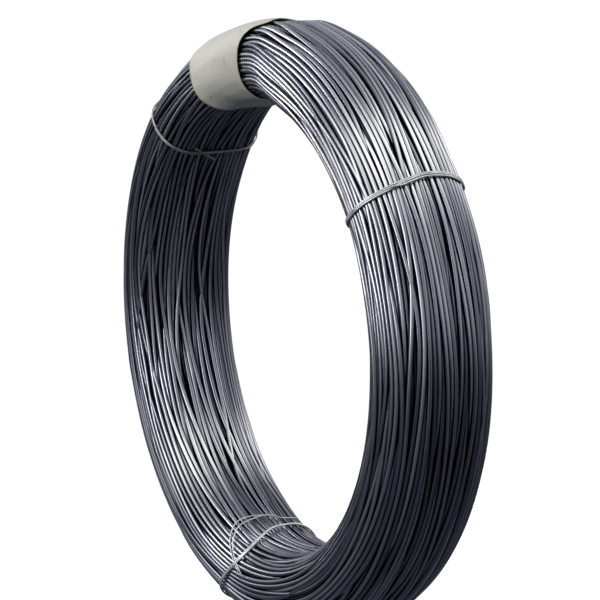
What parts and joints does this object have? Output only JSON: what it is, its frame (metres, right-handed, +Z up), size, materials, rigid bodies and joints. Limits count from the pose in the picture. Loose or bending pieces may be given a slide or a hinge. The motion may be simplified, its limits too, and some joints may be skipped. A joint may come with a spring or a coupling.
{
  "type": "coil of wire rod",
  "caption": "Round coil of drawn steel wire rod standing on its rim, held by doubled binding wires and one wrapped band, with an open eye for a hook or mandrel.",
  "frame": {"origin": "floor point under the middle of the coil, which stands on its rim", "axes": "+Z up, +Y along the coil's level axis, away from the end that the picture shows, +X to the side of the rim that the picture shows"},
  "size_m": [0.6818, 0.1376, 0.6824],
  "materials": {
    "drawn_rod": "bright drawn steel, dark blue-grey, with streaks along the rod",
    "wrap_film": "pale grey film, soft sheen, slightly creased",
    "binding_wire": "annealed binding wire, pale satin grey",
    "loose_wire": "thin tie wire, pale satin grey"
  },
  "bodies": {
    "root": {"rod_coil": "drawn_rod", "wrap_band": "wrap_film", "tie_right": "binding_wire", "tie_upper_left": "binding_wire", "tie_lower_left": "binding_wire", "loose_tie_wire": "loose_wire"}
  },
  "joints": []
}
